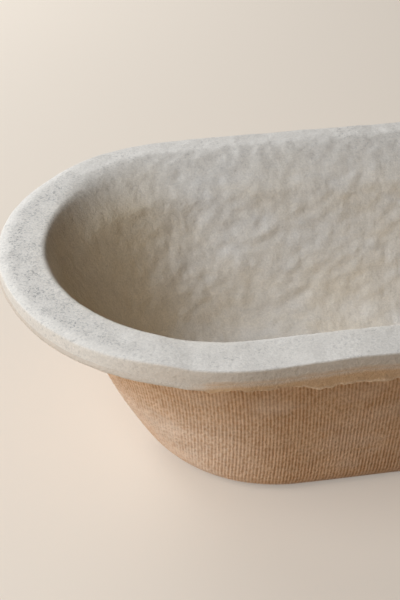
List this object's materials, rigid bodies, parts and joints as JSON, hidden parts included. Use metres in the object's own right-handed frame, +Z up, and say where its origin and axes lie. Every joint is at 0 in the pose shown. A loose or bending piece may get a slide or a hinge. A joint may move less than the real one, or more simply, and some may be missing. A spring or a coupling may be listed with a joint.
{
  "type": "proofing basket",
  "caption": "Long oval proofing basket of moulded wood pulp, with a ribbed leaning wall, a smooth inside and a thick overhanging rim with a torn lower edge.",
  "frame": {"origin": "middle of the flat resting face, on the surface the basket stands on", "axes": "+X along the basket, +Y across it, +Z up through the open mouth"},
  "size_m": [0.33, 0.164, 0.086],
  "materials": {
    "wire_side_pulp": "matt, tan, ribbed by the forming wire",
    "felt_side_pulp": "matt, pale warm grey, softly pebbled",
    "rim_pulp": "matt, pale grey, faintly mottled",
    "deckle_pulp": "matt, tan, torn thin edge"
  },
  "bodies": {
    "root": {"ribbed_shell": "wire_side_pulp", "inner_lining": "felt_side_pulp", "rim_collar": "rim_pulp", "torn_fringe": "deckle_pulp"}
  },
  "joints": []
}
